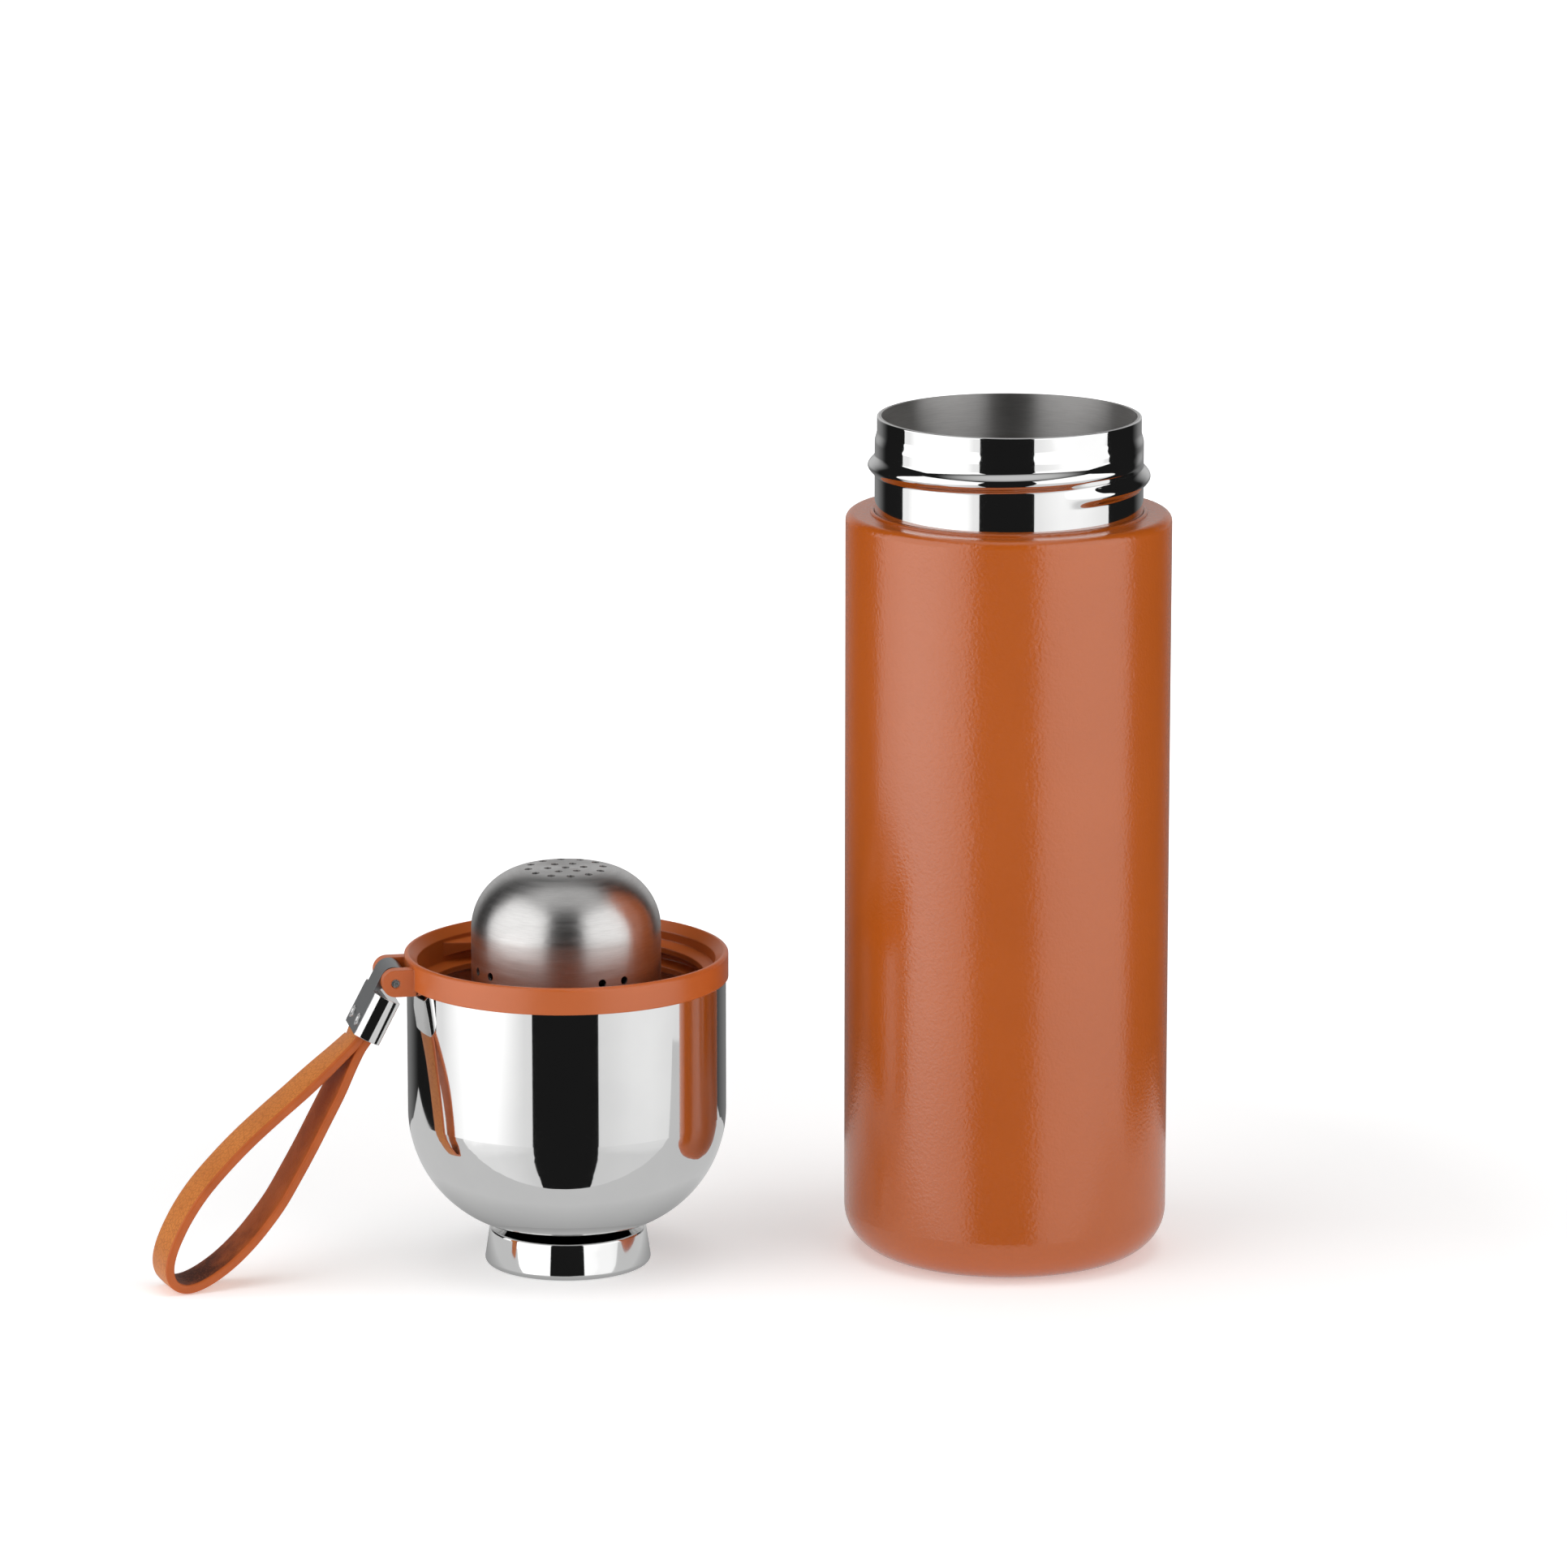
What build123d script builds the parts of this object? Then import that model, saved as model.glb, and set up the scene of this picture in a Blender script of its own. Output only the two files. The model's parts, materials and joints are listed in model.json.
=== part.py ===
from build123d import *

import os
from math import cos, radians, sin

# A double-walled tea bottle with its lid off.  The bottle stands on its base and the lid stands
# beside it, upside down on its foot, with the tea infuser pointing up and a wrist strap on a hinge.
# Frame: origin at the centre of the bottle's base, +Z up, +Y to the back.  Millimetres.

# ---------------------------------------------------------------- bottle, driving dimensions
BODY_R = 36.0
SHOULDER_Z = 167.4
LIP_Z = 188.8
BASE_CORNER_R = 10.0
SHOULDER_EDGE_R = 1.8
BODY_WALL = 0.7
BASE_HOLE_R = 24.0
CAP_GAP = 0.05

NECK_R = 29.6
LIP_R = 29.1
LIP_BAND = 3.6
COAT_BEAD = 0.5
MOUTH_R = 28.15
FLASK_WALL = 0.5
FLASK_R = 31.4
FLASK_BOTTOM_Z = 5.2
FLASK_CORNER_R = 9.0

THREAD_PITCH = 4.4
THREAD_TURNS = 1.15
THREAD_TAPER = 20.0
THREAD_TAPER_GAP = 0.3
NECK_THREAD_R = 31.2
NECK_THREAD_W = 3.8
NECK_THREAD_CREST = 1.2
NECK_THREAD_Z = 174.9
NECK_THREAD_START = -65.0

FOIL_GAP = 0.4
FOIL_T = 0.15
GETTER_R = 4.0
GETTER_T = 1.4
SEAL_R = 2.6
SEAL_T = 0.7
EVACUATION_R = 1.0

# ---------------------------------------------------------------- lid, driving dimensions
LID_X = -97.7
LID_Y = -12.1
FOOT_H = 8.1
FOOT_BASE_R = 18.6
FOOT_TOP_R = 17.4
FOOT_WALL = 2.0
FOOT_WEB = 1.0

SHELL_R = 35.35
SHELL_WALL = 0.7
DOME_ARC_R = 27.0
COLLAR_BOTTOM_Z = 65.1
COLLAR_TOP_Z = 71.0
COLLAR_R = 35.9
COLLAR_BORE_R = 33.0
COLLAR_FUNNEL = 1.9
RIM_EDGE_R = 0.7
SKIRT_GAP = 0.15
LID_FLOOR_Z = 44.0
LID_THREAD_R = 30.6
LID_THREAD_W = 3.8
LID_THREAD_CREST = 1.3
LID_THREAD_Z = 57.9
LID_THREAD_TURNS = 2.0
LID_THREAD_START = 150.0

LINER_T = 2.5
SEAT_RING_R = 25.5
SEAT_Z = 47.8
GASKET_TOP_Z = 50.2
GASKET_IN_R = 27.0
GASKET_OUT_R = 31.4
FOAM_GAP = 0.3

# ---------------------------------------------------------------- infuser, driving dimensions
INFUSER_R = 21.0
INFUSER_WALL = 0.6
INFUSER_TOP_Z = 89.7
INFUSER_BOTTOM_Z = 49.0
INFUSER_CORNER_R = 13.7
INFUSER_BASE_Z = 44.6
RING_R = 21.9
SPIGOT_H = 3.0
SOCKET_R = 22.6
SOCKET_WALL = 1.4
SOCKET_TOP_Z = 50.0
ORING_R = 0.7
ORING_Z = 47.0
TOP_HOLE_R = 0.85
TOP_HOLE_ROWS = ((4.0, 6), (8.3, 12))
TOP_HOLE_TURN = 9.0
SIDE_HOLE_R = 0.9
SIDE_HOLE_Z = 68.1
SIDE_PAIR_AZIMUTH = 31.2
SIDE_PAIR_HALF = 7.6

# ---------------------------------------------------------------- hinge and strap, driving dimensions
HINGE_YAW = 11.0
PIN_DISTANCE = 39.2
PIN_Z = 66.9
PIN_R = 0.9
PIN_RECESS = 0.3
EAR_R = 3.0
EAR_T = 2.8
EAR_GAP = 9.6
EAR_BORE_R = 1.05

BRACKET_SLOPE = 62.5
KNUCKLE_R = 3.1
KNUCKLE_W = 9.0
KNUCKLE_BORE_R = 0.98
PLATE_T = 0.75
PLATE_START = 3.9
PLATE_END = 14.2
PLATE_CORNER_R = 0.8
SLEEVE_W = 13.2
SLEEVE_T = 6.25
SLEEVE_BULGE = 1.2
SLEEVE_EDGE_R = 0.7
SLEEVE_CAP_T = 0.8
SLOT_W = 11.0
SLOT_T = 4.2
RIVET_R = 0.8
RIVET_HEAD_R = 1.45
RIVET_HEAD_H = 0.25
RIVET_SPACING = 7.4
RIVET_INSET = 2.9

STRAP_W = 10.5
STRAP_T = 2.0
STRAP_YAW = 21.6
TONGUE_CORNER_R = 0.5
TONGUE_OUT = 1.0
# The folded loop's middle line: distance out from the sleeve's mouth, height above the table.
LOOP_OUTER = ((9.5, 47.0), (27.3, 33.0), (41.6, 17.7))
LOOP_TIP = (46.4, 6.4)
LOOP_FOLD = (45.0, 2.3)
LOOP_REST = (41.2, 1.2)
LOOP_INNER = ((28.2, 9.3), (16.4, 24.4), (6.2, 42.2))

# ---------------------------------------------------------------- derived places and planes
BOTTLE_SECTION = Plane.XZ
LID_CENTRE = Vector(LID_X, LID_Y, 0)
LID_SECTION = Plane(origin=LID_CENTRE, x_dir=(1, 0, 0), z_dir=(0, -1, 0))
LID_AXIS = Axis(LID_CENTRE, (0, 0, 1))

DOME_CENTRE_R = SHELL_R - DOME_ARC_R
DOME_CENTRE_Z = FOOT_H + DOME_ARC_R
EAR_OUT = EAR_GAP / 2 + EAR_T


def horizontal(yaw):
    """Unit vector that points left, turned by yaw degrees towards the front."""
    return Vector(-cos(radians(yaw)), -sin(radians(yaw)), 0)


def upright_plane(origin, yaw):
    """Vertical plane through origin: local x runs left along yaw, local y runs up."""
    return Plane(origin=origin, x_dir=horizontal(yaw), z_dir=(-sin(radians(yaw)), cos(radians(yaw)), 0))


HINGE_PLANE = upright_plane(LID_CENTRE, HINGE_YAW)
DOWN_SLOPE = Vector(cos(radians(BRACKET_SLOPE)), -sin(radians(BRACKET_SLOPE)))
SLOPE_NORMAL = Vector(sin(radians(BRACKET_SLOPE)), cos(radians(BRACKET_SLOPE)))
SLEEVE_MID = KNUCKLE_R - SLEEVE_T / 2
SLOT_MID = KNUCKLE_R - PLATE_T - SLOT_T / 2


def on_bracket(along, out):
    """Point of the hinge plane at a distance along the bracket and out from its middle line."""
    pin = Vector(PIN_DISTANCE, PIN_Z)
    return pin + DOWN_SLOPE * along + SLOPE_NORMAL * out


def bracket_section(along):
    """Plane across the bracket: local x runs across its width, local y runs out of its face."""
    place = on_bracket(along, 0)
    origin = HINGE_PLANE.from_local_coords(Vector(place.X, place.Y, 0))
    down = HINGE_PLANE.x_dir * DOWN_SLOPE.X + Vector(0, 0, DOWN_SLOPE.Y)
    return Plane(origin=origin, x_dir=-HINGE_PLANE.z_dir, z_dir=down)


def bracket_face(out):
    """Plane along the bracket's outer face: local x runs across, local y runs up the slope."""
    place = on_bracket(0, out)
    origin = HINGE_PLANE.from_local_coords(Vector(place.X, place.Y, 0))
    normal = HINGE_PLANE.x_dir * SLOPE_NORMAL.X + Vector(0, 0, SLOPE_NORMAL.Y)
    return Plane(origin=origin, x_dir=-HINGE_PLANE.z_dir, z_dir=normal)


def helical_ridge(centre, z, root_r, crest_r, width, crest, turns, start):
    """Trapezoid ridge swept along a right-handed helix, from z upward, thinning to nothing at both ends."""
    with BuildPart() as ridge:
        with BuildLine() as path:
            Helix(pitch=THREAD_PITCH, height=THREAD_PITCH * turns, radius=root_r)
        begin = path.line @ 0
        with BuildSketch(Plane(origin=begin, x_dir=(1, 0, 0), z_dir=path.line % 0)):
            with BuildLine():
                Polyline(
                    (0, -width / 2),
                    (crest_r - root_r, -crest / 2),
                    (crest_r - root_r, crest / 2),
                    (0, width / 2),
                    close=True,
                )
            make_face()
        sweep(path=path.line, is_frenet=True)
        for turned, onward in ((0, THREAD_TAPER), (360 * turns, -THREAD_TAPER)):
            tip = Vector(root_r, 0, 0).rotate(Axis.Z, turned)
            full = Vector(crest_r, 0, 0).rotate(Axis.Z, turned + onward)
            tip = tip - (full - tip).normalized() * THREAD_TAPER_GAP
            off = (full - tip).cross(Vector(0, 0, 1)).normalized() * width
            if off.dot(full) * (crest_r - root_r) < 0:
                off = -off
            below = THREAD_PITCH * turned / 360 - width / 2 - THREAD_TAPER_GAP
            with BuildSketch(Plane.XY.offset(below)):
                with BuildLine():
                    Polyline(tip, full, full + off, tip + off, close=True)
                make_face()
            extrude(amount=width + 2 * THREAD_TAPER_GAP, mode=Mode.SUBTRACT)
    return ridge.part.rotate(Axis.Z, start).translate(centre + Vector(0, 0, z))


# ================================================================ bottle

def body_outline(inset):
    """Draw the bottle's side from the base hole to the neck, inset from its outer surface."""
    Line((BASE_HOLE_R, inset), (BODY_R - BASE_CORNER_R, inset))
    CenterArc((BODY_R - BASE_CORNER_R, BASE_CORNER_R), BASE_CORNER_R - inset, -90, 90)
    Line((BODY_R - inset, BASE_CORNER_R), (BODY_R - inset, SHOULDER_Z - SHOULDER_EDGE_R))
    CenterArc((BODY_R - SHOULDER_EDGE_R, SHOULDER_Z - SHOULDER_EDGE_R), SHOULDER_EDGE_R - inset, 0, 90)
    Line((BODY_R - SHOULDER_EDGE_R, SHOULDER_Z - inset), (NECK_R, SHOULDER_Z - inset))


# Outer shell: the coated steel body, from the rolled base rim to the shoulder.
with BuildPart() as outer_shell:
    with BuildSketch(BOTTLE_SECTION):
        with BuildLine():
            body_outline(0)
            body_outline(BODY_WALL)
            Line((BASE_HOLE_R, 0), (BASE_HOLE_R, BODY_WALL))
            Line((NECK_R, SHOULDER_Z), (NECK_R, SHOULDER_Z - BODY_WALL))
        make_face()
    revolve(axis=Axis.Z)
    with BuildSketch(BOTTLE_SECTION):
        with Locations((NECK_R + COAT_BEAD, SHOULDER_Z)):
            Circle(COAT_BEAD)
    revolve(axis=Axis.Z)

# Base cap: the flat cover that fills the base rim and hides the evacuation hole.
with BuildPart() as base_cap:
    with BuildSketch(Plane.XY):
        Circle(BASE_HOLE_R - CAP_GAP)
    extrude(amount=BODY_WALL)

# Base disc: closes the vacuum space above the cap.
with BuildPart() as base_disc:
    with BuildSketch(Plane.XY.offset(BODY_WALL)):
        Circle(BODY_R - BASE_CORNER_R)
        Circle(EVACUATION_R, mode=Mode.SUBTRACT)
    extrude(amount=BODY_WALL)

# Vacuum seal: the plug in the evacuation hole, with its bead on the inside.
with BuildPart() as vacuum_seal:
    with BuildSketch(Plane.XY.offset(BODY_WALL)):
        Circle(EVACUATION_R)
    extrude(amount=BODY_WALL)
    with BuildSketch(Plane.XY.offset(2 * BODY_WALL)):
        Circle(SEAL_R)
    extrude(amount=SEAL_T)
    chamfer(vacuum_seal.edges().group_by(Axis.Z)[-1], length=SEAL_T / 2)

# Getter: the gas-absorbing pill under the inner flask.
with BuildPart() as getter:
    with BuildSketch(Plane.XY.offset(FLASK_BOTTOM_Z - GETTER_T)):
        Circle(GETTER_R)
    extrude(amount=GETTER_T)
    chamfer(getter.edges().group_by(Axis.Z)[0], length=GETTER_T / 4)

# Neck: the polished threaded collar between the shoulder and the lip.
neck_thread = helical_ridge(
    Vector(0, 0, 0),
    NECK_THREAD_Z,
    NECK_R - COAT_BEAD,
    NECK_THREAD_R,
    NECK_THREAD_W,
    NECK_THREAD_CREST,
    THREAD_TURNS,
    NECK_THREAD_START,
)
with BuildPart() as neck_collar:
    with BuildSketch(BOTTLE_SECTION):
        with BuildLine():
            Polyline(
                (MOUTH_R + FLASK_WALL, SHOULDER_Z - BODY_WALL),
                (NECK_R, SHOULDER_Z - BODY_WALL),
                (NECK_R, LIP_Z - LIP_BAND - COAT_BEAD),
                (LIP_R, LIP_Z - LIP_BAND),
                (LIP_R, LIP_Z),
                (MOUTH_R + FLASK_WALL, LIP_Z),
                close=True,
            )
        make_face()
    revolve(axis=Axis.Z)
    fillet(neck_collar.edges().group_by(Axis.Z)[-1].sort_by(SortBy.RADIUS)[-1], radius=COAT_BEAD / 2)
    add(neck_thread)

# Inner flask: the drinking vessel, straight in the neck and wider below the shoulder.
NECK_FOOT_Z = SHOULDER_Z - BODY_WALL
FLASK_TOP_Z = NECK_FOOT_Z - 2 * (FLASK_R - MOUTH_R)
with BuildPart() as inner_flask:
    with BuildSketch(BOTTLE_SECTION) as flask_section:
        with BuildLine():
            Polyline(
                (0, FLASK_BOTTOM_Z),
                (FLASK_R, FLASK_BOTTOM_Z),
                (FLASK_R, FLASK_TOP_Z),
                (MOUTH_R + FLASK_WALL, NECK_FOOT_Z),
                (MOUTH_R + FLASK_WALL, LIP_Z),
                (0, LIP_Z),
                close=True,
            )
        make_face()
        corner = flask_section.vertices().group_by(Axis.Y)[0].sort_by(Axis.X)[-1]
        fillet(corner, radius=FLASK_CORNER_R)
    revolve(axis=Axis.Z)
    offset(amount=-FLASK_WALL, openings=inner_flask.faces().sort_by(Axis.Z)[-1])

# Foil wrap: the reflective shield inside the vacuum space.
with BuildPart() as foil_wrap:
    with BuildSketch(Plane.XY.offset(FLASK_BOTTOM_Z + FLASK_CORNER_R)):
        Circle(FLASK_R + FOIL_GAP + FOIL_T)
        Circle(FLASK_R + FOIL_GAP, mode=Mode.SUBTRACT)
    extrude(amount=FLASK_TOP_Z - FLASK_BOTTOM_Z - FLASK_CORNER_R)

# ================================================================ lid

def dome_outline(inset, top_z):
    """Draw the dome's side from its axis to top_z, inset from its outer surface."""
    Line((0, FOOT_H + inset), (DOME_CENTRE_R, FOOT_H + inset))
    CenterArc((DOME_CENTRE_R, DOME_CENTRE_Z), DOME_ARC_R - inset, -90, 90)
    Line((SHELL_R - inset, DOME_CENTRE_Z), (SHELL_R - inset, top_z))


# Lid shell: the polished steel dome.
with BuildPart() as lid_shell:
    with BuildSketch(LID_SECTION):
        with BuildLine():
            dome_outline(0, COLLAR_BOTTOM_Z)
            dome_outline(SHELL_WALL, COLLAR_BOTTOM_Z)
            Line((0, FOOT_H), (0, FOOT_H + SHELL_WALL))
            Line((SHELL_R, COLLAR_BOTTOM_Z), (SHELL_R - SHELL_WALL, COLLAR_BOTTOM_Z))
        make_face()
    revolve(axis=LID_AXIS)

# Foot ring: a flared cup with a web that is welded under the dome.
FOOT_INNER_R = FOOT_TOP_R - FOOT_WALL
with BuildPart() as foot_ring:
    with BuildSketch(LID_SECTION) as foot_section:
        with BuildLine():
            Polyline(
                (0, FOOT_H),
                (FOOT_TOP_R, FOOT_H),
                (FOOT_BASE_R, 0),
                (FOOT_INNER_R, 0),
                (FOOT_INNER_R, FOOT_H - FOOT_WEB),
                (0, FOOT_H - FOOT_WEB),
                close=True,
            )
        make_face()
        fillet(foot_section.vertices().group_by(Axis.Y)[0].sort_by(Axis.X)[-1], radius=FOOT_WEB)
        fillet(foot_section.vertices().group_by(Axis.Y)[-1].sort_by(Axis.X)[-1], radius=FOOT_WEB / 2)
    revolve(axis=LID_AXIS)

# Lid collar: the threaded plastic insert, with its rim band and the two ears of the strap hinge.
SKIRT_R = SHELL_R - SHELL_WALL - SKIRT_GAP
lid_thread = helical_ridge(
    LID_CENTRE,
    LID_THREAD_Z,
    COLLAR_BORE_R + COAT_BEAD,
    LID_THREAD_R,
    LID_THREAD_W,
    LID_THREAD_CREST,
    LID_THREAD_TURNS,
    LID_THREAD_START,
)
with BuildPart() as lid_collar:
    with BuildSketch(LID_SECTION) as collar_section:
        with BuildLine():
            Polyline(
                (COLLAR_BORE_R, LID_FLOOR_Z),
                (SKIRT_R, LID_FLOOR_Z),
                (SKIRT_R, COLLAR_BOTTOM_Z),
                (COLLAR_R, COLLAR_BOTTOM_Z),
                (COLLAR_R, COLLAR_TOP_Z),
                (COLLAR_BORE_R + COLLAR_FUNNEL, COLLAR_TOP_Z),
                (COLLAR_BORE_R, COLLAR_TOP_Z - COLLAR_FUNNEL),
                close=True,
            )
        make_face()
        rim_corners = collar_section.vertices().group_by(Axis.Y)[-1].sort_by(Axis.X)
        fillet(rim_corners[-1], radius=RIM_EDGE_R)
        fillet(rim_corners[0], radius=RIM_EDGE_R / 3)
    revolve(axis=LID_AXIS)
    for near_side in (-EAR_OUT, EAR_GAP / 2):
        with BuildSketch(HINGE_PLANE.offset(near_side)):
            with Locations((PIN_DISTANCE, PIN_Z)):
                Circle(EAR_R)
            with Locations((PIN_DISTANCE, PIN_Z)):
                Rectangle(PIN_DISTANCE - SKIRT_R, 2 * EAR_R, align=(Align.MAX, Align.CENTER))
            with Locations((PIN_DISTANCE, PIN_Z)):
                Circle(PIN_R, mode=Mode.SUBTRACT)
        extrude(amount=EAR_T)
    with BuildSketch(Plane.XY.offset(COLLAR_BOTTOM_Z)):
        with Locations((LID_X, LID_Y)):
            Circle(SHELL_R + SKIRT_GAP)
            Circle(SKIRT_R, mode=Mode.SUBTRACT)
    extrude(amount=-EAR_R, mode=Mode.SUBTRACT)
    for ear_face in (-EAR_OUT, EAR_OUT - PIN_RECESS):
        with BuildSketch(HINGE_PLANE.offset(ear_face)):
            with Locations((PIN_DISTANCE, PIN_Z)):
                Circle(EAR_BORE_R)
        extrude(amount=PIN_RECESS, mode=Mode.SUBTRACT)
    add(lid_thread)

# Lid liner: the floor inside the lid, with the raised seat of the gasket.
with BuildPart() as lid_liner:
    with BuildSketch(Plane.XY.offset(LID_FLOOR_Z - LINER_T)) as floor_disc:
        with Locations((LID_X, LID_Y)):
            Circle(SKIRT_R)
    extrude(amount=LINER_T)
    with BuildSketch(Plane.XY.offset(LID_FLOOR_Z)):
        with Locations((LID_X, LID_Y)):
            Circle(COLLAR_BORE_R - SKIRT_GAP)
            Circle(SEAT_RING_R, mode=Mode.SUBTRACT)
    extrude(amount=SEAT_Z - LID_FLOOR_Z)

# Lid insulation: the foam that fills the dome under the liner.
FOAM_INSET = SHELL_WALL + FOAM_GAP
FOAM_TOP_Z = LID_FLOOR_Z - LINER_T - FOAM_GAP
with BuildPart() as lid_insulation:
    with BuildSketch(LID_SECTION):
        with BuildLine():
            dome_outline(FOAM_INSET, FOAM_TOP_Z)
            Line((SHELL_R - FOAM_INSET, FOAM_TOP_Z), (0, FOAM_TOP_Z))
            Line((0, FOAM_TOP_Z), (0, FOOT_H + FOAM_INSET))
        make_face()
    revolve(axis=LID_AXIS)

# Lid gasket: the silicone ring that the bottle's lip presses on.
with BuildPart() as lid_gasket:
    with BuildSketch(Plane.XY.offset(SEAT_Z)):
        with Locations((LID_X, LID_Y)):
            Circle(GASKET_OUT_R)
            Circle(GASKET_IN_R, mode=Mode.SUBTRACT)
    extrude(amount=GASKET_TOP_Z - SEAT_Z)
    fillet(lid_gasket.edges().group_by(Axis.Z)[-1], radius=ORING_R)

# Infuser socket: the steel ring on the lid floor that holds the infuser.
with BuildPart() as infuser_socket:
    with BuildSketch(Plane.XY.offset(LID_FLOOR_Z)):
        with Locations((LID_X, LID_Y)):
            Circle(SOCKET_R + SOCKET_WALL)
            Circle(SOCKET_R, mode=Mode.SUBTRACT)
    extrude(amount=SOCKET_TOP_Z - LID_FLOOR_Z)
    chamfer(infuser_socket.edges().group_by(Axis.Z)[-1], length=SOCKET_WALL / 4)

# Hinge pin: pressed through both ears.
with BuildPart() as hinge_pin:
    with BuildSketch(HINGE_PLANE.offset(-EAR_OUT + PIN_RECESS)):
        with Locations((PIN_DISTANCE, PIN_Z)):
            Circle(PIN_R)
    extrude(amount=2 * (EAR_OUT - PIN_RECESS))

# ================================================================ infuser

# Infuser dome: the perforated steel cup, open towards the lid floor.
with BuildPart() as infuser_dome:
    with BuildSketch(LID_SECTION) as infuser_section:
        Rectangle(INFUSER_R, INFUSER_TOP_Z, align=Align.MIN)
        crown = infuser_section.vertices().group_by(Axis.Y)[-1].sort_by(Axis.X)[-1]
        fillet(crown, radius=INFUSER_CORNER_R)
        offset(amount=-INFUSER_WALL, mode=Mode.SUBTRACT)
        Rectangle(INFUSER_WALL, INFUSER_TOP_Z - INFUSER_WALL, align=Align.MIN, mode=Mode.SUBTRACT)
        Rectangle(INFUSER_R, INFUSER_BOTTOM_Z, align=Align.MIN, mode=Mode.SUBTRACT)
    revolve(axis=LID_AXIS)
    with BuildSketch(Plane.XY.offset(INFUSER_TOP_Z)):
        with Locations((LID_X, LID_Y)):
            Circle(TOP_HOLE_R)
            for row_r, count in TOP_HOLE_ROWS:
                with PolarLocations(row_r, count, start_angle=TOP_HOLE_TURN):
                    Circle(TOP_HOLE_R)
    extrude(amount=-INFUSER_CORNER_R / 2, mode=Mode.SUBTRACT)
    for quarter in range(4):
        for side in (-SIDE_PAIR_HALF, SIDE_PAIR_HALF):
            azimuth = radians(SIDE_PAIR_AZIMUTH + quarter * 90 + side)
            outward = Vector(sin(azimuth), -cos(azimuth), 0)
            middle = LID_CENTRE + Vector(0, 0, SIDE_HOLE_Z)
            with BuildSketch(Plane(origin=middle, z_dir=outward).offset(INFUSER_R / 2)):
                Circle(SIDE_HOLE_R)
            extrude(amount=INFUSER_R, mode=Mode.SUBTRACT)

# Infuser ring: the base that plugs into the dome and sits in the socket.
GROOVE_R = RING_R - ORING_R
with BuildPart() as infuser_ring:
    with BuildSketch(LID_SECTION):
        with BuildLine():
            Polyline(
                (INFUSER_R - 3 * INFUSER_WALL, INFUSER_BASE_Z),
                (RING_R, INFUSER_BASE_Z),
                (RING_R, INFUSER_BOTTOM_Z),
                (INFUSER_R - INFUSER_WALL, INFUSER_BOTTOM_Z),
                (INFUSER_R - INFUSER_WALL, INFUSER_BOTTOM_Z + SPIGOT_H),
                (INFUSER_R - 3 * INFUSER_WALL, INFUSER_BOTTOM_Z + SPIGOT_H),
                close=True,
            )
        make_face()
        with Locations((GROOVE_R, ORING_Z)):
            Circle(ORING_R, mode=Mode.SUBTRACT)
            Rectangle(2 * ORING_R, 2 * ORING_R, align=(Align.MIN, Align.CENTER), mode=Mode.SUBTRACT)
    revolve(axis=LID_AXIS)

# Infuser O-ring: the silicone ring in the groove of the base ring.
with BuildPart() as infuser_oring:
    with BuildSketch(LID_SECTION):
        with Locations((GROOVE_R, ORING_Z)):
            Circle(ORING_R)
    revolve(axis=LID_AXIS)

# ================================================================ strap

# Strap rivets: two pins through the plate, the leather and the sleeve, with heads on the plate.
RIVET_ALONG = PLATE_END - RIVET_INSET
with BuildPart() as strap_rivets:
    with BuildSketch(bracket_face(SLEEVE_MID - SLEEVE_T / 2)):
        with Locations((0, -RIVET_ALONG)):
            with GridLocations(RIVET_SPACING, 1, 2, 1):
                Circle(RIVET_R)
    extrude(amount=SLEEVE_T + RIVET_HEAD_H / 2)
    with BuildSketch(bracket_face(KNUCKLE_R)):
        with Locations((0, -RIVET_ALONG)):
            with GridLocations(RIVET_SPACING, 1, 2, 1):
                Circle(RIVET_HEAD_R)
                Circle(RIVET_R, mode=Mode.SUBTRACT)
    extrude(amount=RIVET_HEAD_H)

# Strap bracket: the knuckle on the hinge pin and the plate that closes the sleeve.
with BuildPart() as strap_bracket:
    with BuildSketch(HINGE_PLANE.offset(-KNUCKLE_W / 2)):
        with Locations((PIN_DISTANCE, PIN_Z)):
            Circle(KNUCKLE_R)
        with BuildLine():
            Polyline(
                on_bracket(0, KNUCKLE_R),
                on_bracket(PLATE_START, KNUCKLE_R),
                on_bracket(PLATE_START, KNUCKLE_R - PLATE_T),
                on_bracket(0, 0),
                close=True,
            )
        make_face()
        with Locations((PIN_DISTANCE, PIN_Z)):
            Circle(KNUCKLE_BORE_R, mode=Mode.SUBTRACT)
    extrude(amount=KNUCKLE_W)
    with BuildSketch(bracket_face(KNUCKLE_R - PLATE_T)) as plate_face:
        with Locations((0, -PLATE_START)):
            Rectangle(SLEEVE_W, PLATE_END - PLATE_START, align=(Align.CENTER, Align.MAX))
        fillet(plate_face.vertices().group_by(Axis.Z)[0], radius=PLATE_CORNER_R)
    extrude(amount=PLATE_T)
    add(strap_rivets.part, mode=Mode.SUBTRACT)

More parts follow.
